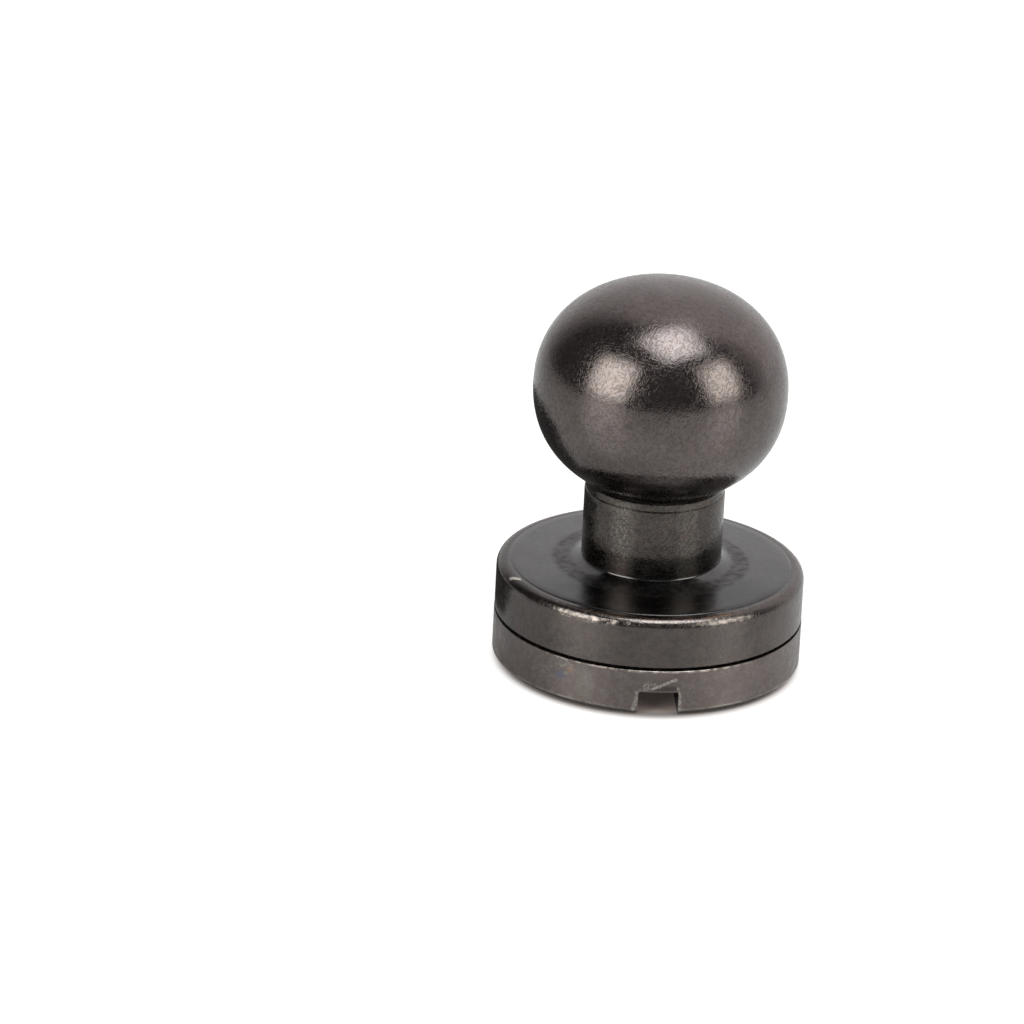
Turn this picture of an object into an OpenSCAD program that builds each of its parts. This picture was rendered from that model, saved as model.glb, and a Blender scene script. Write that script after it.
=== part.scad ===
// Ball-head screw rivet for straps and bags: a turned ball stud and the slotted screw that closes it.
// It stands on the screw's head, with +Z up through the ball. All lengths are in millimetres.

/* [Ball] */
// Diameter of the ball at its widest
ball_d = 8.22; // [6:0.01:10]
// Height that the ball's curve would have from pole to pole
ball_h = 7.08; // [5.6:0.01:9]
// Fullness of the ball's curve: 2 is an ellipse, and more is squarer
ball_fullness = 2.17; // [2:0.01:3]

/* [Neck] */
// Diameter of the neck
neck_d = 4.55; // [4.2:0.01:5.4]
// Length of the neck that a strap lies round, from the flange to the ball
neck_len = 2.73; // [1.5:0.01:6]
// Height of the undercut band at the top of the neck
undercut_h = 0.36; // [0.1:0.01:1]
// Depth of that undercut
undercut_depth = 0.03; // [0.01:0.01:0.1]
// Radius of the small fillet at the foot of the neck
foot_fillet = 0.07; // [0.03:0.01:0.2]

/* [Flange] */
// Diameter of the flange
flange_d = 10; // [9:0.01:14]
// Thickness of the flange at its rim
flange_t = 1.68; // [1:0.01:3]
// Radius of the rounded upper rim
rim_round = 0.3; // [0.1:0.01:0.5]
// How far the edge of the raised face stands inside the rounding
face_inset = 0.17; // [0.1:0.01:0.9]
// Height of the step up to that face
face_step = 0.03; // [0.01:0.01:0.1]
// Rise of the face from its edge to the cove
face_rise = 0.06; // [0.02:0.01:0.3]
// Width of the cove round the foot of the neck
cove_w = 0.6; // [0.3:0.01:0.9]
// Height of that cove
cove_h = 0.16; // [0.05:0.01:0.25]

/* [Screw head] */
// How far the head's side stands outside the flange's
head_proud = 0.025; // [0.005:0.005:0.2]
// Thickness of the head
head_t = 1.6; // [1:0.01:3]
// Chamfer round the head's lower edge
head_chamfer = 0.18; // [0.05:0.01:0.3]
// Width of the driver slot
slot_w = 1.3; // [0.8:0.01:2]
// Depth of the driver slot
slot_depth = 0.81; // [0.4:0.01:0.9]

/* [Screw shank] */
// Outer diameter of the thread
thread_d = 3.5; // [3:0.01:3.8]
// Length of the shank under the head
shank_len = 6.4; // [4:0.01:7]
// Diameter of the plain run-out under the head
runout_d = 2.9; // [2.4:0.01:2.95]
// Length of that run-out
runout_len = 1.1; // [0.4:0.01:2]
// Diameter of the flat end of the tip
tip_d = 2.2; // [1.2:0.01:2.8]
// Length of the tapered tip
tip_len = 0.45; // [0.2:0.01:1]

/* [Fit] */
// Running clearance between the thread and the hole, on the radius
thread_gap = 0.05; // [0.01:0.01:0.1]
// Room left in the hole past the tip of the screw
tip_room = 0.4; // [0.2:0.01:0.8]
// Width of the countersink at the mouth of the hole
mouth_w = 0.25; // [0.1:0.01:0.5]
// Broken edge on both sides of the seam
edge_break = 0.04; // [0.01:0.01:0.1]

/* [Hidden] */

plating = [0.31, 0.29, 0.28];
screw_plating = [0.34, 0.31, 0.3];
turned_fn = 120;
drill_point_angle = 118;
cut_margin = 0.5;
// Angle of an arc's lowest point, where it runs level
lowest = 270;
ball_steps = 56;
round_steps = 10;

// Radii of the stud, and the heights of its seats above the flange's underside
ball_r = ball_d / 2;
neck_r = neck_d / 2;
undercut_r = neck_r - undercut_depth;
flange_r = flange_d / 2;
face_r = flange_r - rim_round - face_inset;
face_edge_z = flange_t + face_step;
cove_bottom_z = face_edge_z + face_rise;
neck_foot_z = cove_bottom_z + cove_h;
ball_foot_z = neck_foot_z + neck_len;

// The cove is one arc, level at its outer end, and the fillet takes over at the cove's slope
cove_r = (cove_w * cove_w + cove_h * cove_h) / (2 * cove_h);
cove_slope = asin(cove_w / cove_r);
cove_inner_r = neck_r + foot_fillet * (1 - sin(cove_slope));

// The ball's curve starts where it is as wide as the undercut
ball_foot_angle = acos(pow(undercut_r / ball_r, ball_fullness / 2));
ball_centre_z = ball_foot_z + ball_h / 2 * pow(sin(ball_foot_angle), 2 / ball_fullness);

// The hole takes the whole shank
seat_z = head_t;
head_r = flange_r + head_proud;
thread_r = thread_d / 2;
hole_r = thread_r + thread_gap;
hole_depth = shank_len + tip_room;
drill_point_h = hole_r / tan(drill_point_angle / 2);

// Points of an arc from one angle to another
function arc(centre, r, from, to, steps) = [
    for (i = [0:steps])
        let (a = from + (to - from) * i / steps)
        centre + r * [cos(a), sin(a)]
];

// Point of the ball's curve at an angle above its middle
function ball_point(a) = [
    ball_r * pow(cos(a), 2 / ball_fullness),
    ball_centre_z + ball_h / 2 * sign(a) * pow(abs(sin(a)), 2 / ball_fullness)
];

// The ball's curve from the undercut to just under the pole
ball_curve = [
    for (i = [0:ball_steps - 1])
        ball_point(-ball_foot_angle + (90 + ball_foot_angle) * i / ball_steps)
];

// Half section of the solid stud, from the flange's underside to the pole
module stud_section() {
    polygon(concat(
        [[0, 0], [flange_r - edge_break, 0], [flange_r, edge_break]],
        arc([flange_r - rim_round, flange_t - rim_round], rim_round, 0, 90, round_steps),
        [[face_r + face_step, flange_t], [face_r, face_edge_z]],
        arc([cove_inner_r + cove_w, cove_bottom_z + cove_r], cove_r, lowest, lowest - cove_slope, round_steps),
        arc([neck_r + foot_fillet, neck_foot_z + foot_fillet * cos(cove_slope)],
            foot_fillet, lowest - cove_slope, 180, round_steps / 2),
        [[neck_r, ball_foot_z - undercut_h - undercut_depth], [undercut_r, ball_foot_z - undercut_h]],
        ball_curve,
        [[0, ball_centre_z + ball_h / 2]]
    ));
}

// Blind hole for the screw, with a countersunk mouth and the cone that the drill leaves
module tapped_hole() {
    translate([0, 0, -cut_margin])
        cylinder(h = hole_depth + cut_margin, r = hole_r, $fn = turned_fn);
    translate([0, 0, hole_depth])
        cylinder(h = drill_point_h, r1 = hole_r, r2 = 0, $fn = turned_fn);
    translate([0, 0, -cut_margin])
        cylinder(h = mouth_w + cut_margin, r1 = hole_r + mouth_w + cut_margin, r2 = hole_r, $fn = turned_fn);
}

// The stud: ball, neck and flange in one turned piece
module ball_stud() {
    color(plating)
        translate([0, 0, seat_z])
        difference() {
            rotate_extrude($fn = turned_fn)
                stud_section();
            tapped_hole();
        }
}

// Half section of the screw before its slot is sawn, from the head's underside to the tip
module screw_section() {
    polygon([
        [0, 0],
        [head_r - head_chamfer, 0],
        [head_r, head_chamfer],
        [head_r, head_t - edge_break],
        [head_r - edge_break, head_t],
        [runout_d / 2, head_t],
        [runout_d / 2, head_t + runout_len],
        [thread_r, head_t + runout_len + thread_r - runout_d / 2],
        [thread_r, head_t + shank_len - tip_len],
        [tip_d / 2, head_t + shank_len],
        [0, head_t + shank_len]
    ]);
}

// Driver slot, sawn right across the head
module driver_slot() {
    translate([-slot_w / 2, -head_r - cut_margin, -cut_margin])
        cube([slot_w, 2 * (head_r + cut_margin), slot_depth + cut_margin]);
}

// The screw: slotted head and shank in one turned piece
module back_screw() {
    color(screw_plating)
        difference() {
            rotate_extrude($fn = turned_fn)
                screw_section();
            driver_slot();
        }
}

ball_stud();
back_screw();
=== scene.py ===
"""Looks for a ball-head screw rivet: a turned ball stud and the slotted screw in its back.

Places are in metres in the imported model's frame: the rivet stands on its screw head, with +Z up
through the ball. Sizes are in millimetres, as on a turner's drawing, and so are a finish's grains.
"""

import logging
import math
from collections.abc import Callable
from dataclasses import dataclass
from enum import Enum
from functools import reduce

import bpy
from mathutils import Matrix, Vector, noise


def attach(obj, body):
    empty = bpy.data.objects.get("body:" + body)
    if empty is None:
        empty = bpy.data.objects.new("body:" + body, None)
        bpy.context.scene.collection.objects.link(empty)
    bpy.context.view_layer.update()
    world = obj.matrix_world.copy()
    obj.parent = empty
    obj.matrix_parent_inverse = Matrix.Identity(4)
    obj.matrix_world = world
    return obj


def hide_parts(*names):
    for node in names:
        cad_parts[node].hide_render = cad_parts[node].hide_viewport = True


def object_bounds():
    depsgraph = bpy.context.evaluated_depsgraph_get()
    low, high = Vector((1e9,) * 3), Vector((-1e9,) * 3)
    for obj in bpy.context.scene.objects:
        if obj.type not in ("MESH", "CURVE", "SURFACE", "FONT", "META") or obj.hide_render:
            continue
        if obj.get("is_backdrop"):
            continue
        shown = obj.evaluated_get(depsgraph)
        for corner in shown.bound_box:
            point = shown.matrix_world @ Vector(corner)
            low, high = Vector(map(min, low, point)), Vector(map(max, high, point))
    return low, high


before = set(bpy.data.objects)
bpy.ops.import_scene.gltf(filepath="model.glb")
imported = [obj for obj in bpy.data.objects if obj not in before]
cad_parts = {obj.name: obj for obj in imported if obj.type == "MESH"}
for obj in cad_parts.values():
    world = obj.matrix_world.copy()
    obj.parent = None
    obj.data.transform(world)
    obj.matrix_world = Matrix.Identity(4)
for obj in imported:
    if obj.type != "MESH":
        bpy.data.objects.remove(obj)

log = logging.getLogger("rivet")

MM = 0.001
PER_MM = 1 / MM
MERGE = 2e-8
SMOOTH_DEG = 32
LEAST_WEIGHT = 0.004

Point = tuple[float, float]
Colour = tuple[float, float, float]
Piece = bpy.types.Object
Socket = bpy.types.NodeSocket


class Cut(Enum):
    """What a boolean modifier does with its cutter."""

    AWAY = "DIFFERENCE"
    SHARED = "INTERSECT"
    JOINED = "UNION"


class Zone(Enum):
    """Parts of the rivet's surface that were finished, or have worn, each in its own way."""

    BALL = "ball"
    NECK = "neck"
    FACE = "flange_face"
    RIM = "flange_rim"
    SIDE = "flange_side"
    SEAM = "seam"
    BORE = "tapped_bore"
    HEAD = "head_side"
    HEAD_ENDS = "head_ends"
    SLOT = "driver_slot"
    THREAD = "thread"


# Bench


def only(obj: Piece) -> None:
    """Makes obj the one selected and active object.

    Args:
        obj: The piece to work on.
    """
    bpy.ops.object.select_all(action="DESELECT")
    obj.select_set(True)
    bpy.context.view_layer.objects.active = obj


def mode(name: str) -> None:
    """Goes to edit or to object mode."""
    bpy.ops.object.mode_set(mode=name)


def arc(centre: Point, radius: float, start: float, end: float, steps: int) -> list[Point]:
    """Points along an arc of a profile, from one angle in degrees to another, with both ends."""
    angles = (math.radians(start + (end - start) * i / steps) for i in range(steps + 1))
    return [(centre[0] + radius * math.cos(a), centre[1] + radius * math.sin(a)) for a in angles]


def line(start: Point, end: Point, steps: int) -> list[Point]:
    """Points along a straight stretch of a profile, with both ends."""
    return [tuple(a + (b - a) * i / steps for a, b in zip(start, end)) for i in range(steps + 1)]


def drawn(name: str, profile: list[Point]) -> Piece:
    """Draws a profile in the XZ plane, corner by corner.

    Args:
        name: Name of the new object.
        profile: Radius and height of each corner, in millimetres.

    Returns:
        The object, left in edit mode with everything selected.
    """
    bpy.ops.object.select_all(action="DESELECT")
    bpy.ops.mesh.primitive_plane_add(size=MM, location=(0, 0, 0), enter_editmode=True)
    obj = bpy.context.object
    obj.name = obj.data.name = name
    bpy.ops.mesh.select_mode(type="VERT")
    bpy.ops.mesh.merge(type="CENTER")
    bpy.ops.transform.translate(value=(profile[0][0] * MM, 0, profile[0][1] * MM))
    for (r0, z0), (r1, z1) in zip(profile, profile[1:]):
        step = ((r1 - r0) * MM, 0, (z1 - z0) * MM)
        bpy.ops.mesh.extrude_region_move(TRANSFORM_OT_translate={"value": step})
    bpy.ops.mesh.select_all(action="SELECT")
    return obj


def heal() -> None:
    """Closes the seams and poles of the mesh in edit mode, turns its faces outwards and leaves it."""
    bpy.ops.mesh.select_all(action="SELECT")
    bpy.ops.mesh.remove_doubles(threshold=MERGE)
    bpy.ops.mesh.normals_make_consistent(inside=False)
    mode("OBJECT")


def turned(name: str, profile: list[Point], segments: int) -> Piece:
    """Turns a profile round Z, as a lathe would.

    Args:
        name: Name of the new object.
        profile: Radius and height of each corner, in millimetres, from axis to axis.
        segments: Number of steps in the full turn.

    Returns:
        The closed piece, with its object at the origin.
    """
    obj = drawn(name, profile)
    bpy.ops.mesh.spin(steps=segments, angle=math.tau, center=(0, 0, 0), axis=(0, 0, 1))
    heal()
    return obj


def work(obj: Piece, kind: str, **settings: object) -> None:
    """Works on a piece with a modifier, and applies it.

    Args:
        obj: The piece.
        kind: The modifier's Blender type.
        settings: The modifier's own settings.
    """
    only(obj)
    modifier = obj.modifiers.new(kind.lower(), kind)
    for name, value in settings.items():
        setattr(modifier, name, value)
    bpy.ops.object.modifier_apply(modifier=modifier.name)


def combine(obj: Piece, tool: Piece, cut: Cut) -> None:
    """Cuts, trims or joins obj with a tool, which is used up.

    Args:
        obj: The piece that stays.
        tool: The solid that works on it.
        cut: What is done.
    """
    work(obj, "BOOLEAN", operation=cut.value, solver="EXACT", object=tool)
    bpy.data.objects.remove(tool)


def press(
    obj: Piece, weigh: Callable[[Vector], float], height: float, grain: float | None = None
) -> None:
    """Raises or dents the surface where it is weighed, as dents and wear do.

    Args:
        obj: The piece.
        weigh: Gives a place's weight, from 0 to 1, from its coordinates in millimetres.
        height: How far a weight of 1 moves the surface outwards, in millimetres.
        grain: Size in millimetres of the lumps of an uneven surface, or None for a plain dent.
    """
    group = obj.vertex_groups.new(name="pressed")
    for vertex in obj.data.vertices:
        weight = weigh(vertex.co / MM)
        if weight > LEAST_WEIGHT:
            group.add([vertex.index], min(weight, 1.0), "REPLACE")
    settings = {"vertex_group": group.name, "strength": height * MM, "mid_level": 0.0}
    if grain is not None:
        lumps = bpy.data.textures.new("lumps", "CLOUDS")
        lumps.noise_scale = grain * MM
        lumps.noise_depth = 2
        settings |= {"texture": lumps, "texture_coords": "LOCAL"}
    work(obj, "DISPLACE", **settings)
    obj.vertex_groups.clear()


def front_angle(p: Vector) -> float:
    """Angle of a place round Z, in degrees from -Y towards +X."""
    return math.degrees(math.atan2(p.x, -p.y))


@dataclass(frozen=True)
class Mark:
    """A short dent or burr on a turned surface."""

    start: Point
    end: Point
    width: float
    strength: float = 1.0
    ragged: float = 0.5

    def weigh(self, p: Vector) -> float:
        """How much of the mark a place has.

        Args:
            p: The place, in millimetres.

        Returns:
            A weight from 0 to 1.
        """
        radius = math.hypot(p.x, p.y)
        here = Vector((math.radians(front_angle(p)) * radius, p.z))
        a, b = (Vector((math.radians(x) * radius, z)) for x, z in (self.start, self.end))
        along = b - a
        share = min(1.0, max(0.0, (here - a).dot(along) / max(along.length_squared, 1e-9)))
        distance = (here - a - along * share).length / self.width
        if distance > 2:
            return 0.0
        chance = 1 - self.ragged * abs(noise.noise(p * 9.0)) * 2
        return self.strength * math.exp(-distance * distance) * max(chance, 0.0)


def press_marks(obj: Piece, places: list[tuple], height: float, inner: float) -> None:
    """Presses several marks into a turned side, or raises them on it.

    Args:
        obj: The piece.
        places: Start, end, width and perhaps strength of each mark.
        height: How far a full mark moves the surface outwards, in millimetres.
        inner: Least radius at which the surface is touched, in millimetres.
    """
    marks = [Mark(*place) for place in places]

    def weigh(p: Vector) -> float:
        """The most that any mark has of a place, but nothing further in."""
        return max(mark.weigh(p) for mark in marks) if math.hypot(p.x, p.y) > inner else 0.0

    press(obj, weigh, height)


# Finishes


@dataclass(frozen=True)
class Level:
    """A number that a node tree works out at each point. Sums are written as with plain numbers."""

    graph: "Graph"
    socket: Socket

    def __add__(self, other: "Level | float") -> "Level":
        """Their sum."""
        return self.graph.math("ADD", self, other)

    def __sub__(self, other: "Level | float") -> "Level":
        """Their difference."""
        return self.graph.math("SUBTRACT", self, other)

    def __rsub__(self, other: float) -> "Level":
        """What it leaves of a plain number."""
        return self.graph.math("SUBTRACT", other, self)

    def __mul__(self, other: "Level | float") -> "Level":
        """Their product."""
        return self.graph.math("MULTIPLY", self, other)

    def __or__(self, other: "Level | Socket") -> "Level":
        """The larger of the two."""
        return self.graph.math("MAXIMUM", self, other)


class Graph:
    """The node tree of a material, a lamp or the world, with short ways to add to it."""

    def __init__(self, owner: bpy.types.ID) -> None:
        """Clears the node tree of a material, lamp or world.

        Args:
            owner: The material, lamp or world.
        """
        owner.use_nodes = True
        self.tree = owner.node_tree
        self.tree.nodes.clear()

    def add(self, kind: str, inputs: dict | None = None, **settings: object) -> bpy.types.Node:
        """Adds a node.

        Args:
            kind: Its Blender type, without the word ShaderNode.
            inputs: A value, level or other node's output for each named or numbered input.
            settings: The node's own settings.

        Returns:
            The node.
        """
        node = self.tree.nodes.new("ShaderNode" + kind)
        for name, value in settings.items():
            setattr(node, name, value)
        for name, value in (inputs or {}).items():
            value = value.socket if isinstance(value, Level) else value
            if isinstance(value, Socket):
                self.tree.links.new(value, node.inputs[name])
            else:
                node.inputs[name].default_value = value
        return node

    def out(self, kind: str, inputs: dict | None = None, **settings: object) -> Socket:
        """Adds a node as add does, and gives its first output."""
        return self.add(kind, inputs, **settings).outputs[0]

    def math(self, operation: str, *values: Level | Socket | float) -> Level:
        """Works out a sum from levels or numbers."""
        return Level(self, self.out("Math", dict(enumerate(values)), operation=operation))

    def parts(self, vector: Socket) -> list[Level]:
        """The X, Y and Z of a vector."""
        return [Level(self, part) for part in self.add("SeparateXYZ", {0: vector}).outputs]

    def rise(
        self, value: Level, low: float, high: float, to_low: Level | float = 0.0,
        to_high: Level | float = 1.0, shape: str = "SMOOTHSTEP",
    ) -> Level:
        """A step from one level to another, as a value rises from low to high."""
        inputs = {0: value, 1: low, 2: high, 3: to_low, 4: to_high}
        return Level(self, self.out("MapRange", inputs, interpolation_type=shape))

    def band(self, value: Level, low: float, high: float, soft: float) -> Level:
        """1 between two values and 0 outside them, with ends that are soft on either side."""
        up = self.rise(value, low - soft, low + soft)
        return up * self.rise(value, high - soft, high + soft, 1.0, 0.0)

    def mix(
        self, share: Level | Socket, first: Socket | Colour, second: Socket | Colour
    ) -> Socket:
        """The first colour, changed by a share to the second."""
        a, b = (c if isinstance(c, Socket) else (*c, 1.0) for c in (first, second))
        return self.add("Mix", {0: share, 6: a, 7: b}, data_type="RGBA").outputs[2]


class Surface(Graph):
    """A zone's surface: where each point of it lies, and its colour, roughness and relief so far."""

    colour: Socket
    rough: Level
    relief: Level

    def __init__(self, material: bpy.types.Material) -> None:
        """Reads where the points are, in millimetres, and in degrees from -Y towards +X.

        Args:
            material: The zone's material.
        """
        super().__init__(material)
        self.point = self.add("TexCoord").outputs["Object"]
        x, y, z = self.parts(self.point)
        self.x, self.y, self.z = (part * PER_MM for part in (x, y, z))
        self.radius = self.math("SQRT", x * x + y * y) * PER_MM
        self.angle = self.math("ARCTAN2", x, y * -1.0) * math.degrees(1)

    def cloud(self, place: Socket, scale: float, detail: float, roughness: float) -> Level:
        """Raw noise round a level of a half."""
        inputs = {"Vector": place, "Scale": scale, "Detail": detail, "Roughness": roughness}
        return Level(self, self.out("TexNoise", inputs))

    def grain(self, size: float, detail: float = 2.0, spread: float = 0.16, offset: float = 0.0) -> Level:
        """Even noise from 0 to 1.

        Args:
            size: Size of a lump in millimetres.
            detail: How many finer layers it has.
            spread: Half the range of raw noise that fills 0 to 1. Less gives more contrast.
            offset: Shifts the noise, so that two of one size differ.

        Returns:
            The noise.
        """
        moved = self.out("Mapping", {"Vector": self.point, "Location": (offset, 0.7 * offset, 0)})
        raw = self.cloud(moved, 1 / (size * MM), detail, 0.55)
        return self.rise(raw, 0.5 - spread, 0.5 + spread)

    def scuffs(self, few: float) -> Level:
        """Short fine scratches that lie across each other, as tumbling and handling leave.

        Args:
            few: From 0, everywhere, to 1, nowhere.

        Returns:
            1 on a scratch and 0 elsewhere.
        """
        length, width = 0.34 * MM, 0.07 * MM
        turns = ((0.0, 0.0, 0.4), (0.9, 0.3, 1.7), (0.3, 1.1, 2.6), (1.4, 0.6, 0.9))
        lines = []
        for turn in turns:
            inputs = {"Vector": self.point, "Rotation": turn}
            laid = self.out("VectorRotate", inputs, rotation_type="EULER_XYZ")
            laid = self.out("Mapping", {"Vector": laid, "Scale": (1 / length, 1 / width, 1 / width)})
            raw = self.cloud(laid, 1.0, 1.0, 0.5)
            lines.append(self.rise(raw, 0.5 + 0.25 * few, 0.6 + 0.25 * few))
        return reduce(Level.__or__, lines)

    def brush(self) -> Level:
        """Fine lines round the axis, as a turning tool leaves.

        Returns:
            The lines' height, from 0 to 1.
        """
        length, width = 1.2 * MM, 0.05 * MM
        laid = self.out("Mapping", {"Vector": self.point, "Scale": (1 / length, 1 / length, 1 / width)})
        return self.rise(self.cloud(laid, 1.0, 2.0, 0.6), 0.35, 0.65)

    def patch(self, angles: Point, heights: Point, soft: Point) -> Level:
        """A patch between two angles and two heights, with its ends and edges as soft as given."""
        return self.band(self.angle, *angles, soft[0]) * self.band(self.z, *heights, soft[1])

    def streak(self, start: Point, end: Point, width: float, radius: float = 5.0) -> Level:
        """A thin mark from one place to another.

        Args:
            start: Angle and height of one end.
            end: Angle and height of the other.
            width: Half width of the mark, in millimetres.
            radius: Radius of the surface, in millimetres.

        Returns:
            1 on its middle line and 0 away from it.
        """
        degree = math.radians(1) * radius
        across, up = (end[0] - start[0]) * degree, end[1] - start[1]
        length = math.hypot(across, up)
        across, up = across / length, up / length
        x, y = self.angle * degree - start[0] * degree, self.z - start[1]
        aside = self.rise(self.math("ABSOLUTE", x * up - y * across), 0.3 * width, width, 1.0, 0.0)
        return self.band(x * across + y * up, 0.0, length, width) * aside

    def tint(self, share: Level, colour: Socket | Colour) -> None:
        """Changes the colour by a share to another."""
        self.colour = self.mix(share, self.colour, colour)

    def bare(self, share: Level, metal: Colour, gloss: float) -> None:
        """Shows a share of another metal, with its own roughness, through the plating."""
        self.rough = self.rise(share, 0.0, 1.0, self.rough, gloss, "LINEAR")
        self.tint(share, metal)


@dataclass(frozen=True)
class Plating:
    """Black nickel plating on brass, satin to bright, with a fine mottle and short scratches."""

    zone: Zone
    dark: float
    light: float
    cast: Colour = (1.0, 0.86, 0.84)
    roughness: Point = (0.11, 0.18)
    stain: Colour = (0.16, 0.12, 0.105)
    stain_share: float = 0.35
    grain_size: float = 0.14
    grain_depth: float = 0.0012
    scratch_depth: float = 0.0014
    scratch_few: float = 0.32
    scratch_fade: float = 0.36
    scratch_gloss: float = 0.14
    brushed: bool = False

    def tone(self, level: float) -> Colour:
        """The plating's colour at a level, with its faint cast."""
        return tuple(level * c for c in self.cast)

    def material(self) -> bpy.types.Material:
        """Builds the finish.

        Returns:
            The new material.
        """
        made = bpy.data.materials.new("plating_" + self.zone.value)
        s = Surface(made)
        fine = s.grain(self.grain_size, 3.0)
        broad = s.grain(self.grain_size * 6, 2.0, 0.2, 0.03)
        blotch = s.grain(self.grain_size * 2.6, 3.0, 0.14, 0.06)
        s.colour = s.mix(fine * 0.6 + broad * 0.4, self.tone(self.dark), self.tone(self.light))
        s.tint(blotch * self.stain_share, self.stain)
        s.rough = s.rise(fine * 0.5 + blotch * 0.5, 0.1, 0.9, *self.roughness)
        s.relief = fine * self.grain_depth
        if self.brushed:
            s.relief += s.brush() * self.scratch_depth
        else:
            lines = s.scuffs(self.scratch_few)
            s.relief -= lines * self.scratch_depth
            s.tint(lines * self.scratch_fade, self.tone(0.5 * self.dark))
            s.rough += lines * self.scratch_gloss
        self.wear(s)
        bump = s.out("Bump", {"Strength": 1.0, "Distance": MM, "Height": s.relief})
        inputs = {"Base Color": s.colour, "Roughness": s.rough, "Normal": bump, "Metallic": 1.0}
        s.add("OutputMaterial", {"Surface": s.out("BsdfPrincipled", inputs)})
        return made

    def wear(self, s: Surface) -> None:
        """Adds what years, tools and handling have changed, and painted shade or highlights where a zone has
        them. Plain plating has nothing more.
        """


@dataclass(frozen=True)
class RimPlating(Plating):
    """The rounded rim of the flange, rubbed through to the peach-coloured metal at the front."""

    def wear(self, s: Surface) -> None:
        """Rubs the rim through at the front, paints shade on it at the left and nicks it.

        Args:
            s: Its surface.
        """
        ragged = s.grain(0.16, 3.0, 0.12, 0.2)
        patches = s.grain(0.5, 3.0, 0.10, 0.4)
        left = s.patch((-42.0, -18.0), (2.96, 3.2), (3.0, 0.05)) * (ragged * patches)
        whole = s.patch((-40.0, 37.0), (3.05, 3.2), (5.0, 0.04)) * (ragged * 0.5)
        worn = s.patch((-15.0, 33.0), (3.155, 3.215), (4.0, 0.012)) * (ragged * 0.4 + 0.25)
        share = left | whole | worn
        s.bare(share, (0.34, 0.285, 0.26), 0.24)
        s.relief -= share * 0.0015
        edge = s.band(s.radius, 4.72, 4.82, 0.03) * s.band(s.angle, -34.0, 30.0, 6.0)
        s.bare(edge * (patches * 0.6), (0.28, 0.16, 0.09), 0.3)
        # Painted shade: the rounding at the left and towards the back is darkened.
        shade = s.band(s.angle, -125.0, -52.0, 14.0) * s.rise(s.z, 3.04, 3.16)
        s.tint(shade * 0.5, (0.03, 0.028, 0.027))
        nick = s.band(s.y + s.x * 0.77, -5.17, -5.02, 0.03) * s.band(s.x, -4.68, -4.33, 0.03)
        s.bare(nick, (0.66, 0.6, 0.53), 0.4)


@dataclass(frozen=True)
class BallPlating(Plating):
    """The ball, with painted shade round its underside where it meets the neck."""

    def wear(self, s: Surface) -> None:
        """Paints shade on the underside, next to the neck."""
        s.tint(s.rise(s.z, 6.3, 6.55, 0.65, 0.0), (0.022, 0.018, 0.018))


@dataclass(frozen=True)
class NeckPlating(Plating):
    """The neck, with pale highlight specks painted in a column at the front left, and painted shade round its
    foot.
    """

    def wear(self, s: Surface) -> None:
        """Adds the painted highlight specks and the painted shade round the foot.

        Args:
            s: Its surface.
        """
        # Painted highlight: pale specks where a lamp's reflection runs down the neck at the front left.
        painted_glint_specks = s.rise(s.grain(0.08, 2.0, 0.16, 0.35), 0.72, 0.98)
        painted_glint_specks *= s.patch((-40.0, -24.0), (3.9, 6.05), (5.0, 0.2))
        s.bare(painted_glint_specks, (0.17, 0.155, 0.145), 0.3)
        # Painted shade round the neck's foot, lighter and reddish in the reflected lamp column.
        reflection_column = s.band(s.angle, -36.0, -25.0, 4.0)
        painted_foot_shade = s.rise(s.z, 4.2, 4.34, 1.0, 0.0) * (0.56 - reflection_column * 0.12)
        s.tint(painted_foot_shade, s.mix(reflection_column, (0.018, 0.0165, 0.016), (0.05, 0.028, 0.028)))


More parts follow.
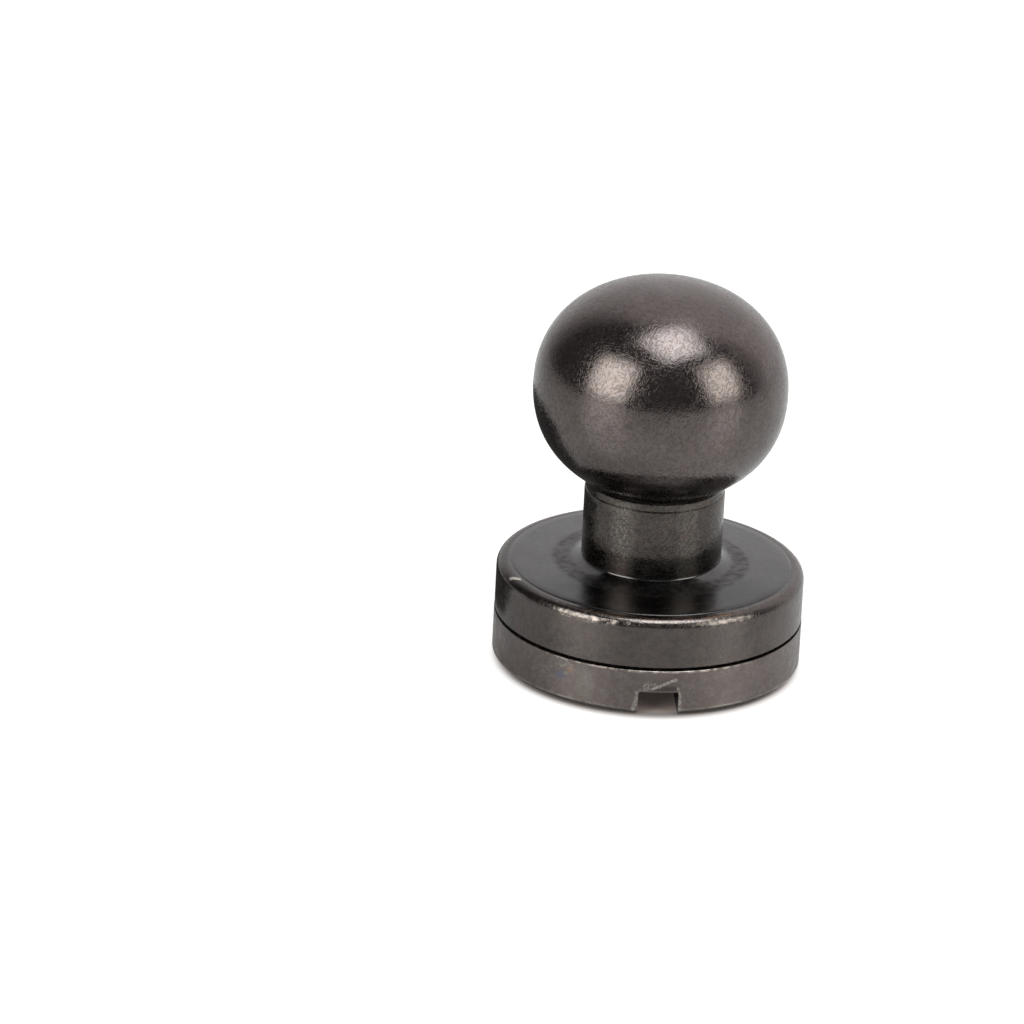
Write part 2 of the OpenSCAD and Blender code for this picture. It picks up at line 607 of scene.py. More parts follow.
@dataclass(frozen=True)
class HeadPlating(Plating):
    """The side of the screw head, scratched over the slot, with painted shade there, and stained beside it.
    """

    def wear(self, s: Surface) -> None:
        """Adds the scratch, the burrs, light lines along the edges, the stains, and painted shade over the
        slot.

        Args:
            s: Its surface.
        """
        scratch = [
            ((-5.4, 0.9), (-2.6, 0.89), 0.075), ((-3.6, 0.88), (1.7, 1.08), 0.07),
            ((1.2, 1.07), (6.4, 1.27), 0.07), ((-5.6, 0.98), (-4.6, 1.1), 0.05),
        ]
        slot_edges = [
            ((-7.5, 0.86), (-8.2, 0.42), 0.1), ((-8.2, 0.44), (-9.6, 0.06), 0.1),
            ((7.1, 0.98), (7.9, 0.62), 0.06), ((7.9, 0.64), (8.3, 0.1), 0.07), ((5.2, 1.3), (6.3, 1.2), 0.05),
        ]
        share = reduce(Level.__or__, [s.streak(*mark) for mark in scratch + slot_edges])
        share *= s.grain(0.09, 3.0, 0.10, 0.3) * 0.8 + 0.2
        crumbs = s.rise(s.grain(0.07, 2.0, 0.14, 0.8), 0.5, 0.9, 0.0, 0.7)
        share |= crumbs * s.patch((-5.2, 0.6), (0.94, 1.12), (0.6, 0.03))
        s.bare(share, (0.5, 0.44, 0.41), 0.36)
        # Painted shade: a dark patch on the side over the slot, beside the burrs.
        shade = s.patch((-4.0, 6.8), (0.86, 1.02), (1.2, 0.05)) * 0.55
        s.tint(shade * (1.0 - share), (0.03, 0.027, 0.026))
        edge = s.patch((-46.0, 34.0), (1.47, 1.54), (9.0, 0.014)) * s.grain(0.3, 3.0, 0.12, 0.5)
        s.bare(edge, (0.46, 0.39, 0.35), 0.34)
        foot = s.patch((-70.0, 80.0), (0.17, 0.23), (14.0, 0.016)) * s.grain(0.5, 2.0, 0.2, 0.15)
        s.bare(foot, (0.38, 0.34, 0.31), 0.3)
        s.tint(s.patch((-31.5, -24.5), (0.4, 1.34), (1.2, 0.1)) * 0.22, (0.24, 0.235, 0.2))
        stains = [
            ((-39.6, 0.88), (-36.8, 0.96), 0.2, (0.1, 0.14, 0.24)),
            ((-34.8, 1.22), (-33.3, 1.16), 0.13, (0.4, 0.24, 0.13)),
            ((-38.4, 1.2), (-35.4, 1.34), 0.07, (0.3, 0.3, 0.27)),
            ((-36.6, 1.02), (-34.9, 1.04), 0.08, (0.3, 0.29, 0.25)),
        ]
        for *mark, tint in stains:
            s.tint(s.streak(*mark) * 0.5, tint)
        s.relief += share * 0.004


@dataclass(frozen=True)
class FacePlating(Plating):
    """The bright face of the flange, with a smudged ring in the cove round the neck and painted shade at its
    front.
    """

    def wear(self, s: Surface) -> None:
        """Adds the smudged ring, and painted shade at the front and its sides.

        Args:
            s: Its surface.
        """
        ring = s.band(s.radius, 2.6, 3.2, 0.12)
        smudge = ring * s.grain(0.26, 3.0, 0.1, 0.1)
        s.tint(smudge * 0.8, (0.036, 0.03, 0.028))
        s.relief += smudge * 0.001
        s.rough += ring * 0.16
        s.rough *= s.rise(s.radius, 2.36, 2.5, 0.4, 1.0)
        # Painted shade on the face at the front left and front right.
        sides = s.band(s.angle, -60.0, -22.0, 12.0) + s.band(s.angle, 24.0, 60.0, 12.0)
        s.tint(sides * s.rise(s.radius, 2.9, 3.4) * 0.36, (0.02, 0.02, 0.021))
        # Painted shade at the front of the cove, next to the neck.
        front = s.band(s.angle, -14.0, 15.0, 7.0) * s.rise(s.radius, 2.5, 2.6, 0.7, 0.0)
        s.tint(front, (0.012, 0.012, 0.012))


def finishes() -> dict[Zone, Plating]:
    """The finish of each zone.

    Returns:
        The finishes by zone.
    """
    head = {"dark": 0.163, "light": 0.228, "cast": (1.0, 0.83, 0.81)}
    made = [
        BallPlating(Zone.BALL, 0.128, 0.178, (1.0, 0.83, 0.82), (0.1, 0.165)),
        NeckPlating(Zone.NECK, 0.076, 0.12, (1.0, 0.88, 0.83), (0.15, 0.26), grain_depth=0.0014),
        FacePlating(
            Zone.FACE, 0.08, 0.113, (1.0, 0.96, 0.97), (0.19, 0.26), stain_share=0.12, grain_size=0.2,
            grain_depth=0.0002, scratch_depth=0.0001, scratch_few=0.6, scratch_fade=0.1, scratch_gloss=0.04,
        ),
        RimPlating(Zone.RIM, 0.095, 0.136, roughness=(0.11, 0.17)),
        Plating(Zone.SIDE, 0.095, 0.136, roughness=(0.2, 0.3), scratch_depth=0.0007, brushed=True),
        Plating(Zone.SEAM, 0.015, 0.025, roughness=(0.55, 0.7), grain_size=0.1),
        Plating(Zone.BORE, 0.1, 0.15, roughness=(0.25, 0.4), grain_size=0.1),
        HeadPlating(Zone.HEAD, **head, roughness=(0.26, 0.38), scratch_depth=0.0009, brushed=True),
        Plating(Zone.HEAD_ENDS, **head, roughness=(0.22, 0.34)),
        Plating(Zone.SLOT, **head, roughness=(0.3, 0.42), grain_size=0.1),
        Plating(Zone.THREAD, 0.1, 0.15, roughness=(0.24, 0.36), grain_size=0.08),
    ]
    return {finish.zone: finish for finish in made}


def dress(
    obj: Piece, plating: dict[Zone, Plating], zone_at: Callable[[Vector, Vector], Zone]
) -> None:
    """Gives each face of a piece the finish of its zone.

    Args:
        obj: The piece.
        plating: The finishes by zone.
        zone_at: Gives the zone of a face from its centre in millimetres and its normal.
    """
    zones = [zone_at(p.center / MM, p.normal) for p in obj.data.polygons]
    used = [zone for zone in Zone if zone in set(zones)]
    only(obj)
    obj.data.materials.clear()
    bpy.context.tool_settings.mesh_select_mode = (False, False, True)
    for number, zone in enumerate(used):
        obj.data.materials.append(plating[zone].material())
        for polygon, of in zip(obj.data.polygons, zones):
            polygon.select = of is zone
        obj.active_material_index = number
        mode("EDIT")
        bpy.ops.object.material_slot_assign()
        mode("OBJECT")
        log.info("%s: %s, %d faces", obj.name, zone.value, zones.count(zone))
    bpy.ops.object.shade_smooth_by_angle(angle=math.radians(SMOOTH_DEG))


# Thread


@dataclass(frozen=True)
class Thread:
    """A fine right-hand metric thread, drawn as the screw has it."""

    pitch: float = 0.6
    crest: float = 1.75
    root: float = 1.38
    crest_flat: float = 0.075
    root_flat: float = 0.098
    facets: int = 72

    def body(self, name: str, grow: float, bottom: float, top: float) -> Piece:
        """A solid threaded rod.

        Args:
            name: Its name.
            grow: How far it stands proud of the screw's own thread, for a tap.
            bottom: Height of its lower end.
            top: Height of its upper end.

        Returns:
            The rod.
        """
        flank = (self.pitch - self.crest_flat - self.root_flat) / 2
        start = (math.floor(bottom / self.pitch) - 2) * self.pitch
        root, crest = self.root + grow, self.crest + grow
        heights = [0, self.root_flat, self.root_flat + flank, self.pitch - flank, self.pitch]
        radii = [root, root, crest, crest, root]
        obj = drawn(name, [(r, start + z) for r, z in zip(radii, heights)])
        mode("OBJECT")
        turns = math.ceil((top - start) / self.pitch) + 2
        work(
            obj, "SCREW", axis="Z", screw_offset=self.pitch * MM, iterations=turns,
            steps=self.facets, render_steps=self.facets,
        )
        mode("EDIT")
        bpy.ops.mesh.select_all(action="SELECT")
        bpy.ops.mesh.remove_doubles(threshold=MERGE)
        for height, way in ((bottom, -1), (top, 1)):
            bpy.ops.mesh.select_all(action="SELECT")
            bpy.ops.mesh.bisect(
                plane_co=(0, 0, height * MM), plane_no=(0, 0, way), use_fill=True, clear_outer=True,
                threshold=MERGE,
            )
        heal()
        return obj


# Ball stud


@dataclass
class BallStud:
    """Ball, neck and flange turned in one, with a tapped hole in the back. Millimetres."""

    seat: float = 1.6
    ball_r: float = 4.11
    ball_h: float = 7.08
    fullness: float = 2.17
    ball_steps: int = 66
    neck_r: float = 2.275
    neck_len: float = 2.73
    undercut_h: float = 0.36
    undercut_r: float = 2.245
    scribe_depth: float = 0.006
    ball_fillet: float = 0.33
    foot_fillet: float = 0.07
    flange_r: float = 4.9965
    flange_t: float = 1.68
    rim_round: float = 0.31
    face_r: float = 4.53
    face_step: float = 0.03
    face_rise: float = 0.06
    cove_w: float = 0.6
    cove_h: float = 0.16
    relief: float = 0.04
    relief_r: float = 4.8
    mouth_r: float = 2.05
    drill_r: float = 1.43
    hole_depth: float = 6.8
    thread_end: float = 8.12
    drill_point: float = 118.0
    segments: int = 500
    thread: Thread = Thread()
    tap_grow: float = 0.05

    @property
    def face_z(self) -> float:
        """Height of the flange face at the cove."""
        return self.seat + self.flange_t + self.face_step + self.face_rise

    @property
    def foot_z(self) -> float:
        """Height of the neck's foot."""
        return self.face_z + self.cove_h

    @property
    def ball_foot_z(self) -> float:
        """Height where the ball's curve starts."""
        return self.foot_z + self.neck_len

    @property
    def fillet_z(self) -> float:
        """Height of the centre of the fillet between the ball and the neck."""
        return self.ball_foot_z - 0.6165 * self.ball_fillet

    def ball_curve(self) -> list[Point]:
        """The ball's outline, from its pole down to the fillet at its foot.

        Returns:
            Its points.
        """
        power = 2 / self.fullness
        foot = math.acos((self.undercut_r / self.ball_r) ** (1 / power))
        middle = self.ball_foot_z + self.ball_h / 2 * math.sin(foot) ** power
        points = [(0.0, middle + self.ball_h / 2)]
        for i in range(1, self.ball_steps + 1):
            a = math.pi / 2 - (math.pi / 2 + foot) * i / self.ball_steps
            rise = math.copysign(abs(math.sin(a)) ** power, a)
            point = (self.ball_r * math.cos(a) ** power, middle + self.ball_h / 2 * rise)
            if a > 0 or point[0] > self.undercut_r + 0.56 * self.ball_fillet:
                points.append(point)
        centre = (self.undercut_r + self.ball_fillet, self.fillet_z)
        return points + arc(centre, self.ball_fillet, 118, 180, 12)

    def neck_curve(self) -> list[Point]:
        """The neck's outline, from under the ball to the cove in the flange face.

        Returns:
            Its points.
        """
        top = self.ball_foot_z - self.undercut_h
        radius = (self.cove_w**2 + self.cove_h**2) / (2 * self.cove_h)
        slope = math.degrees(math.asin(self.cove_w / radius))
        fillet = self.foot_fillet
        inner = self.neck_r + fillet * (1 - math.sin(math.radians(slope)))
        fillet_z = self.foot_z + fillet * math.cos(math.radians(slope))
        points = line((self.undercut_r, self.fillet_z - 0.04), (self.undercut_r, top + 0.02), 2)
        points += [(self.undercut_r - self.scribe_depth, top), (self.neck_r - 0.008, top - 0.03)]
        points += line((self.neck_r, top - 0.08), (self.neck_r, fillet_z + 0.08), 11)
        points += arc((self.neck_r + fillet, fillet_z), fillet, 180, 270 - slope, 6)
        points += arc((inner + self.cove_w, self.face_z + radius), radius, 270 - slope, 270, 9)[1:]
        return points

    def flange_curve(self) -> list[Point]:
        """The flange's outline, from its face over the rim to its underside.

        Returns:
            Its points.
        """
        top = self.seat + self.flange_t
        r, q, low = self.flange_r, self.rim_round, self.seat + self.relief
        points = line((3.1, self.face_z - 0.008), (self.face_r - 0.02, top + self.face_step), 6)
        points += [(self.face_r + 0.002, top + 0.024), (self.face_r + 0.022, top + 0.006)]
        points += line((self.face_r + 0.036, top), (r - q, top), 3)
        points += arc((r - q, top - q), q, 90, 0, 11)[1:]
        points += line((r, top - q - 0.05), (r, low + 0.04), 21)
        points += [(r, low + 0.018), (r - 0.018, low)]
        return points + [(self.relief_r, low), (self.relief_r - 0.05, self.seat)]

    def bore_curve(self) -> list[Point]:
        """The hole's outline, from its countersunk mouth to the cone that the drill leaves.

        Returns:
            Its points.
        """
        end = self.seat + self.hole_depth
        cone = self.drill_r / math.tan(math.radians(self.drill_point / 2))
        sink = self.mouth_r - self.drill_r
        mouth = [(self.mouth_r, self.seat), (self.drill_r, self.seat + sink)]
        return mouth + [(self.drill_r, end), (0.0, end + cone)]

    def turn(self) -> Piece:
        """Turns the stud and taps its hole.

        Returns:
            The stud.
        """
        profile = self.ball_curve() + self.neck_curve() + self.flange_curve() + self.bore_curve()
        stud = turned("turned_stud", profile, self.segments)
        tap = self.thread.body("tap", self.tap_grow, self.seat - 0.587, self.thread_end)
        combine(stud, tap, Cut.AWAY)
        return stud

    def wear(self, stud: Piece) -> None:
        """Dents the ball, the rim and the side a little, as handling has.

        Args:
            stud: The turned stud.
        """
        inner, rim_z = 4.6, self.seat + self.flange_t - self.rim_round
        press(stud, lambda p: 1.0 if p.z > self.ball_foot_z + 0.1 else 0.0, -0.006, 1.1)

        def rubbed(p: Vector) -> float:
            """How much of the rim is rubbed away at a place, most at its left and right front.

            Args:
                p: The place, in millimetres.

            Returns:
                A weight from 0 to 1.
            """
            if math.hypot(p.x, p.y) < inner or not rim_z - 0.02 < p.z < rim_z + 0.29:
                return 0.0
            angle = front_angle(p)
            left = max(0.0, 1 - abs(angle + 29.5) / 14)
            right = 0.7 * max(0.0, 1 - abs(angle - 23.5) / 12)
            return max(left, right, 0.15)

        press(stud, rubbed, -0.012, 0.13)
        dents = [
            ((-64.5, 2.86), (-59.5, 2.93), 0.12, 0.7), ((-22.5, 3.02), (-18.5, 3.08), 0.06, 0.6),
            ((-14.5, 3.12), (-13.0, 3.12), 0.05, 0.6), ((30.5, 3.08), (34.5, 3.05), 0.05, 0.6),
        ]
        press_marks(stud, dents, -0.03, inner)

    def zone_at(self, centre: Vector, normal: Vector) -> Zone:
        """The zone of a face.

        Args:
            centre: Its middle, in millimetres.
            normal: Its normal.

        Returns:
            The zone.
        """
        radius = math.hypot(centre.x, centre.y)
        inward = normal.x * centre.x + normal.y * centre.y < 0
        cone_top = self.seat + self.hole_depth + 1.0
        if radius < self.mouth_r + 0.05 and centre.z < cone_top and (inward or centre.z < self.seat + 0.7):
            return Zone.BORE
        if centre.z > self.fillet_z + 0.3 * self.ball_fillet:
            return Zone.BALL
        if centre.z > self.foot_z + 0.06:
            return Zone.NECK
        if centre.z < self.seat + self.relief + 0.001:
            return Zone.SEAM if radius > self.relief_r - 0.1 else Zone.BORE
        if radius < 4.66:
            return Zone.FACE
        return Zone.RIM if centre.z > self.seat + self.flange_t - self.rim_round - 0.02 else Zone.SIDE

    def seat_in_frame(self, stud: Piece) -> None:
        """Says what the stud rides on and which node it replaces."""
        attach(stud, "stud")
        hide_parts("ball_stud")


# Back screw


@dataclass
class BackScrew:
    """Slotted head and threaded shank turned in one. Millimetres."""

    head_r: float = 5.008
    head_t: float = 1.6
    chamfer: float = 0.18
    relief: float = 0.065
    relief_r: float = 4.8
    runout_r: float = 1.45
    runout_end: float = 2.7
    thread_r: float = 1.75
    taper_start: float = 7.55
    tip_r: float = 1.1
    tip_z: float = 8.0
    slot_w: float = 1.3
    slot_depth: float = 0.81
    segments: int = 768
    thread: Thread = Thread()

    def head_curve(self) -> list[Point]:
        """The head's outline, from axis to axis.

        Returns:
            The points.
        """
        r, c, edge = self.head_r, self.chamfer, self.head_t - self.relief
        points = [(0.0, 0.0), (1.5, 0.0), (3.0, 0.0), (4.2, 0.0)]
        points += [(r - c - 0.03, 0.0), (r - c, 0.006), (r - 0.014, c - 0.016), (r - 0.003, c), (r, c + 0.02)]
        points += line((r, c + 0.06), (r, edge - 0.2), 22)
        points += line((r, edge - 0.18), (r, edge - 0.03), 8)
        points += [(r, edge - 0.014), (r - 0.014, edge), (self.relief_r, edge)]
        points += [(self.relief_r - 0.05, self.head_t), (0.0, self.head_t)]
        return points

    def runout_curve(self) -> list[Point]:
        """The plain run-out's outline, from inside the head to under the thread.

        Returns:
            The points.
        """
        low, fillet, top = self.head_t - 0.3, 0.04, self.runout_end + 0.15
        return [
            (0.0, low), (self.runout_r + fillet, low), (self.runout_r + fillet, self.head_t),
            (self.runout_r, self.head_t + fillet), (self.runout_r, top), (0.0, top),
        ]

    def envelope(self) -> list[Point]:
        """Outline that trims the thread to its run-out and its tapered tip.

        Returns:
            The points.
        """
        over = 0.05
        slope = (self.thread_r - self.tip_r) / (self.tip_z - self.taper_start)
        outer = self.thread_r + over
        low = self.runout_end - 0.05
        return [
            (0.0, low), (self.runout_r - 0.08, low), (outer, self.runout_end + outer - self.runout_r),
            (outer, self.taper_start - over / slope), (self.tip_r + 0.02, self.tip_z - 0.012),
            (self.tip_r - 0.02, self.tip_z), (0.0, self.tip_z),
        ]

    def turn(self) -> Piece:
        """Turns the screw, threads its shank and saws its slot.

        Returns:
            The screw.
        """
        screw = turned("slotted_screw", self.head_curve(), self.segments)
        shank = self.thread.body("shank", 0.0, self.runout_end - 0.287, self.tip_z + 0.313)
        combine(shank, turned("envelope", self.envelope(), 144), Cut.SHARED)
        combine(shank, turned("runout", self.runout_curve(), 160), Cut.JOINED)
        combine(screw, shank, Cut.JOINED)
        combine(screw, self.saw(), Cut.AWAY)
        return screw

    def saw(self) -> Piece:
        """The slot's cutter: a bar with slightly rounded lower corners.

        Returns:
            The cutter.
        """
        bpy.ops.object.select_all(action="DESELECT")
        depth, below, reach = self.slot_depth, 0.4, self.head_r + 0.5
        bpy.ops.mesh.primitive_cube_add(size=1, location=(0, 0, (depth - below) / 2 * MM))
        bar = bpy.context.object
        bar.scale = (self.slot_w * MM, 2 * reach * MM, (depth + below) * MM)
        bpy.ops.object.transform_apply(location=True, rotation=True, scale=True)
        only(bar)
        mode("EDIT")
        bpy.ops.mesh.select_mode(type="EDGE")
        bpy.ops.mesh.select_all(action="DESELECT")
        mode("OBJECT")
        for edge in bar.data.edges:
            ends = [bar.data.vertices[i].co for i in edge.vertices]
            upper = all(v.z > depth * MM * 0.9 for v in ends)
            edge.select = upper and abs(ends[0].y - ends[1].y) > reach * MM
        mode("EDIT")
        bpy.ops.mesh.bevel(offset=0.06 * MM, segments=4, affect="EDGES")
        mode("OBJECT")
        return bar

    def wear(self, screw: Piece) -> None:
        """Raises the saw's burrs, scratches the side and nicks the upper edge.

        Args:
            screw: The turned screw.
        """
        over_slot = [
            ((-5.4, 0.9), (-3.0, 0.88), 0.045, 0.9), ((-3.3, 0.87), (1.5, 1.09), 0.04),
            ((1.2, 1.08), (6.4, 1.28), 0.03), ((-7.8, 0.86), (-8.3, 0.42), 0.06),
            ((-8.3, 0.44), (-9.4, 0.2), 0.06), ((7.7, 0.9), (8.0, 0.62), 0.04, 0.9),
            ((8.0, 0.64), (8.3, 0.2), 0.045),
        ]
        upper_edge = [
            ((-45.0, 1.5), (-37.0, 1.5), 0.028, 0.8), ((-33.0, 1.5), (-20.0, 1.5), 0.028, 0.8),
            ((-11.0, 1.51), (-1.0, 1.51), 0.025, 0.7), ((9.0, 1.51), (17.0, 1.5), 0.028, 0.8),
            ((19.0, 1.51), (32.0, 1.51), 0.026, 0.7), ((51.0, 1.5), (59.0, 1.51), 0.028, 0.6),
        ]
        press_marks(screw, over_slot + upper_edge, 0.016, 4.9)
        dents = [
            ((-1.0, 0.93), (5.5, 0.97), 0.06, 0.6), ((-19.0, 1.48), (-17.0, 1.48), 0.05, 0.7),
            ((-35.5, 1.54), (-34.0, 1.4), 0.04, 0.8), ((33.5, 1.45), (35.0, 1.3), 0.04, 0.8),
        ]
        press_marks(screw, dents, -0.025, 4.9)

    def zone_at(self, centre: Vector, normal: Vector) -> Zone:
        """The zone of a face.

        Args:
            centre: Its middle, in millimetres.
            normal: Its normal.

        Returns:
            The zone.
        """
        radius = math.hypot(centre.x, centre.y)
        in_slot = abs(centre.x) < self.slot_w / 2 + 0.001 and centre.z < self.slot_depth + 0.001
        if in_slot and radius < self.head_r + 0.01:
            return Zone.SLOT
        if centre.z > self.head_t + 0.02:
            return Zone.THREAD
        if centre.z > self.head_t - self.relief - 0.001 and radius > self.relief_r - 0.1:
            return Zone.SEAM
        return Zone.HEAD if radius > self.head_r - 0.13 else Zone.HEAD_ENDS

    def seat_in_frame(self, screw: Piece) -> None:
        """Says what the screw rides on and which node it replaces."""
        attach(screw, "screw")
        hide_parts("back_screw")


# Studio


@dataclass(frozen=True)
class Softbox:
    """A soft lamp, brighter in its middle, placed by where it stands as seen from the rivet."""

    name: str
    azimuth: float
    elevation: float
    width: float
    height: float
    radiance: float
    tint: Colour
    edge: float = 0.35
    distance: float = 400.0

    def light(self, turn: Matrix, aim: Vector) -> None:
        """Hangs the lamp.

        Args:
            turn: The studio's turn about Z.
            aim: The point that it faces, in metres.
        """
        a, e = math.radians(self.azimuth), math.radians(self.elevation)
        away = turn @ Vector((math.sin(a) * math.cos(e), -math.cos(a) * math.cos(e), math.sin(e)))
        bpy.ops.object.light_add(type="AREA", location=aim + away * self.distance * MM)
        lamp = bpy.context.object
        lamp.name = self.name
        lamp.rotation_euler = away.to_track_quat("Z", "Y").to_euler()
        lamp.data.shape = "RECTANGLE"
        lamp.data.size, lamp.data.size_y = (
            2 * self.distance * MM * math.tan(math.radians(seen / 2)) for seen in (self.width, self.height)
        )
        lamp.data.energy = self.radiance * math.pi * lamp.data.size * lamp.data.size_y
        lamp.data.color = self.tint
        lamp.visible_camera = False
        g = Graph(lamp.data)
        across, up, _ = g.parts(g.add("NewGeometry").outputs["Parametric"])
        falls = [g.rise(g.math("ABSOLUTE", way - 0.5), 0.2, 0.5, 1.0, self.edge) for way in (across, up)]
        glow = g.out("Emission", {"Color": (1.0, 1.0, 1.0, 1.0), "Strength": falls[0] * falls[1]})
        g.add("OutputLight", {"Surface": glow})
        log.info("lamp %s: %.2f W", lamp.name, lamp.data.energy)


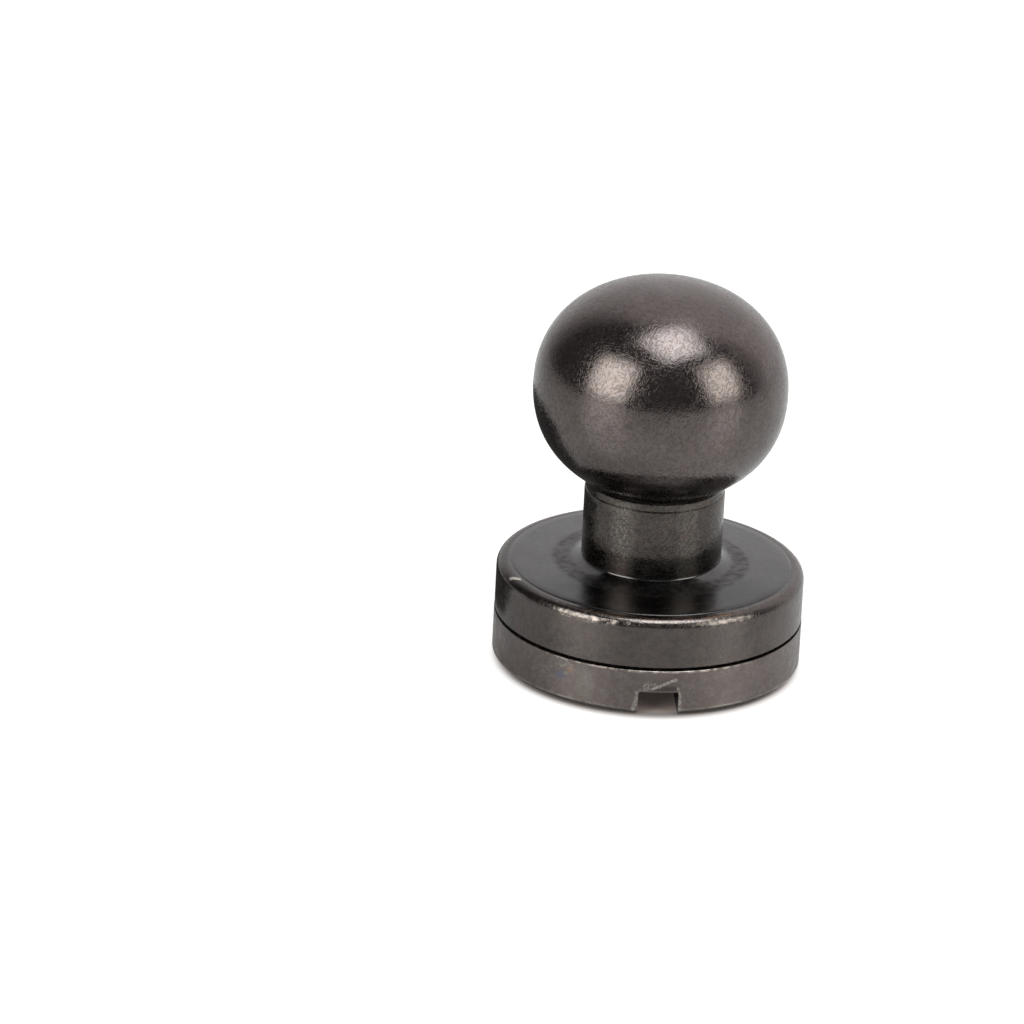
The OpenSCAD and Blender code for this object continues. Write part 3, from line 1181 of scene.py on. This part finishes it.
@dataclass
class Studio:
    """White floor, soft lamps, a dark room with a pale back wall, and the camera. Millimetres."""

    turn_deg: float = -4.55
    tilt: float = 0.3826
    roll: float = 0.0505
    distance: float = 240.0
    scale_px: float = 30.729
    aim_px: Point = (647.82, 609.21)
    aim_z: float = 1.595
    frame_px: float = 1024.0
    sensor: float = 36.0
    floor_r: float = 420.0
    floor_gap: float = 0.01
    lamp_aim_z: float = 7.0

    @property
    def turn(self) -> Matrix:
        """The turn of the studio about Z, against the rivet's slot."""
        return Matrix.Rotation(math.radians(self.turn_deg), 3, "Z")

    def camera(self) -> None:
        """Sets up the camera where the photograph was taken from."""
        ce, se = math.cos(self.tilt), math.sin(self.tilt)
        ahead, level, down = Vector((0, ce, -se)), Vector((1, 0, 0)), Vector((0, -se, -ce))
        right = math.cos(self.roll) * level - math.sin(self.roll) * down
        lower = math.sin(self.roll) * level + math.cos(self.roll) * down
        focal_px = self.scale_px * self.distance
        u, v = ((p - self.frame_px / 2) / focal_px for p in self.aim_px)
        place = Vector((0, 0, self.aim_z)) - self.distance * (ahead + u * right + v * lower)
        bpy.ops.object.camera_add()
        camera = bpy.context.object
        rotation = Matrix([self.turn @ axis for axis in (right, -lower, -ahead)]).transposed()
        camera.matrix_world = Matrix.Translation(self.turn @ place * MM) @ rotation.to_4x4()
        camera.data.lens = focal_px / self.frame_px * self.sensor
        camera.data.sensor_width = self.sensor
        camera.data.clip_start, camera.data.clip_end = 0.01, 10.0
        bpy.context.scene.camera = camera

    def lamps(self) -> None:
        """Hangs the three soft lamps."""
        boxes = [
            Softbox("left_softbox", -51.0, 26.0, 43.0, 51.0, 4.2, (0.96, 1.0, 0.94)),
            Softbox("right_softbox", 61.0, 25.0, 37.0, 46.0, 3.4, (0.96, 1.0, 0.93)),
            Softbox("top_softbox", 38.0, 77.5, 42.0, 40.0, 4.7, (0.92, 1.0, 1.0)),
        ]
        for box in boxes:
            box.light(self.turn, Vector((0, 0, self.lamp_aim_z * MM)))

    def floor(self) -> None:
        """Lays the white floor, with a painted contact shadow and a faint painted glow round the head. It
        lets views from below through, and light to the head on it.
        """
        bpy.ops.object.select_all(action="DESELECT")
        bpy.ops.mesh.primitive_circle_add(
            vertices=96, radius=self.floor_r * MM, fill_type="NGON", location=(0, 0, -self.floor_gap * MM)
        )
        floor = bpy.context.object
        floor.name = "floor"
        material = bpy.data.materials.new("white_floor")
        g = Graph(material)
        ray = g.add("LightPath").outputs
        place = g.add("TexCoord").outputs["Object"]
        # Painted shadow: the white glow that the camera sees fades out round the head, its middle shifted
        # towards the camera.
        nearer = self.turn @ Vector((0.0, -0.3 * MM, 0.0))
        spot = Level(g, g.add("VectorMath", {0: place}, operation="LENGTH").outputs["Value"])
        reach = g.add("VectorMath", {0: place, 1: nearer}, operation="DISTANCE").outputs["Value"]
        open_floor = g.rise(reach, 4.6 * MM, 5.14 * MM) * 0.8
        # Painted light under the head: the floor there is paler and warmer and glows faintly, so that the
        # slot is not dark.
        shown = g.mix(g.rise(spot, 4.6 * MM, 4.8 * MM), (0.7, 0.57, 0.53), (0.36, 0.32, 0.31))
        under = g.rise(spot, 4.7 * MM, 4.95 * MM, 0.022, 0.0)
        warmth = g.mix(g.math("GREATER_THAN", under, 0.001), (1.0, 1.0, 1.0), (1.0, 0.84, 0.8))
        glow = g.out("Emission", {"Color": warmth, "Strength": open_floor + under})
        seen = g.out("AddShader", {0: g.out("BsdfDiffuse", {"Color": shown}), 1: glow})
        # Painted light: the floor that reflections see is darker at the left and near the rivet, and lighter
        # at the right.
        side = g.parts(place)[0]
        near = g.rise(side, -9 * MM, 9 * MM, 0.52, 0.74)
        level = g.rise(spot, 7 * MM, 14 * MM, near, g.rise(side, -20 * MM, 20 * MM, 0.65, 0.73))
        other = g.out("BsdfPrincipled", {"Base Color": level, "Roughness": 0.3})
        lit = g.out("MixShader", {0: ray["Is Camera Ray"], 1: other, 2: seen})
        touching = g.math("LESS_THAN", ray["Ray Length"], 0.06 * MM) * g.math("LESS_THAN", spot, 4.75 * MM)
        through = touching | g.add("NewGeometry").outputs["Backfacing"]
        both = g.out("MixShader", {0: through, 1: lit, 2: g.out("BsdfTransparent")})
        g.add("OutputMaterial", {"Surface": both})
        floor.data.materials.append(material)
        floor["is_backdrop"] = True

    def card(self) -> None:
        """Lays the dark card that takes the light from the rivet's left edge."""
        corners = [
            (7.6, -101.0), (18.0, -102.0), (24.0, -120.0), (27.0, -142.0), (26.0, -172.0), (9.0, -176.0),
            (7.4, -148.0), (6.9, -124.0),
        ]
        places = [
            (r * math.sin(math.radians(a)), -r * math.cos(math.radians(a)), 0.05) for r, a in corners
        ]
        mesh = bpy.data.meshes.new("dark_card")
        mesh.from_pydata([self.turn @ Vector(p) * MM for p in places], [], [tuple(range(len(places)))])
        card = bpy.data.objects.new("dark_card", mesh)
        bpy.context.scene.collection.objects.link(card)
        material = bpy.data.materials.new("dark_card")
        g = Graph(material)
        g.add("OutputMaterial", {"Surface": g.out("BsdfDiffuse", {"Color": (0.05, 0.048, 0.048, 1.0)})})
        mesh.materials.append(material)
        card.visible_camera = card.visible_shadow = card.visible_diffuse = False
        card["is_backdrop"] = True

    def room(self) -> None:
        """Builds the dark room with its pale back wall. The camera sees white."""
        world = bpy.data.worlds.new("room")
        g = Graph(world)
        inputs = {"Vector": g.add("TexCoord").outputs["Generated"], "Angle": math.radians(-self.turn_deg)}
        x, y, z = g.parts(g.out("VectorRotate", inputs, rotation_type="Z_AXIS"))
        azimuth = g.math("DIVIDE", g.math("ARCTAN2", x, y * -1.0), math.tau) + 0.5
        elevation = g.math("ARCSINE", z) * math.degrees(1)
        stops = [
            (-180, 0.86), (-152, 0.78), (-136, 0.35), (-122, 0.1), (-82, 0.11), (-20, 0.13), (25, 0.13),
            (70, 0.15), (92, 0.17), (105, 0.44), (117, 0.95), (180, 0.9),
        ]
        ramp = g.add("ValToRGB", {0: azimuth})
        wall = ramp.color_ramp
        for _ in range(len(stops) - 2):
            wall.elements.new(0.5)
        for element, (degrees, level) in zip(wall.elements, stops):
            element.position = (degrees + 180) / 360
            element.color = (level, level, level, 1.0)
        ceiling = g.rise(elevation, 66.0, 79.0)
        below = g.rise(elevation, -3.0, 0.0, 1.0, 0.0)
        colour = g.mix(ceiling, ramp.outputs[0], (0.48, 0.48, 0.48))
        colour = g.mix(below, colour, (0.72, 0.72, 0.72))
        seen = g.add("LightPath").outputs["Is Camera Ray"]
        colour = g.mix(seen, colour, (1.0, 1.0, 1.0))
        g.add("OutputWorld", {"Surface": g.out("Background", {"Color": colour, "Strength": 1.0})})
        bpy.context.scene.world = world

    def build(self) -> None:
        """Sets up the whole studio."""
        bpy.context.scene.view_settings.view_transform = "Standard"
        self.room()
        self.floor()
        self.card()
        self.lamps()
        self.camera()


# All of it


def corners() -> list[list[float]]:
    """Lowest and highest corner of what is shown, as plain lists."""
    return [list(corner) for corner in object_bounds()]


def main() -> None:
    """Builds the rivet's pieces and the studio, and logs each piece's triangles."""
    logging.basicConfig(level=logging.INFO, format="%(name)s: %(message)s")
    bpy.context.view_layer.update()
    plating = finishes()
    for maker in (BallStud(), BackScrew()):
        piece = maker.turn()
        maker.wear(piece)
        dress(piece, plating, maker.zone_at)
        maker.seat_in_frame(piece)
        log.info("%s: %d triangles", piece.name, sum(len(p.vertices) - 2 for p in piece.data.polygons))
    Studio().build()


if __name__ == "__main__":
    main()
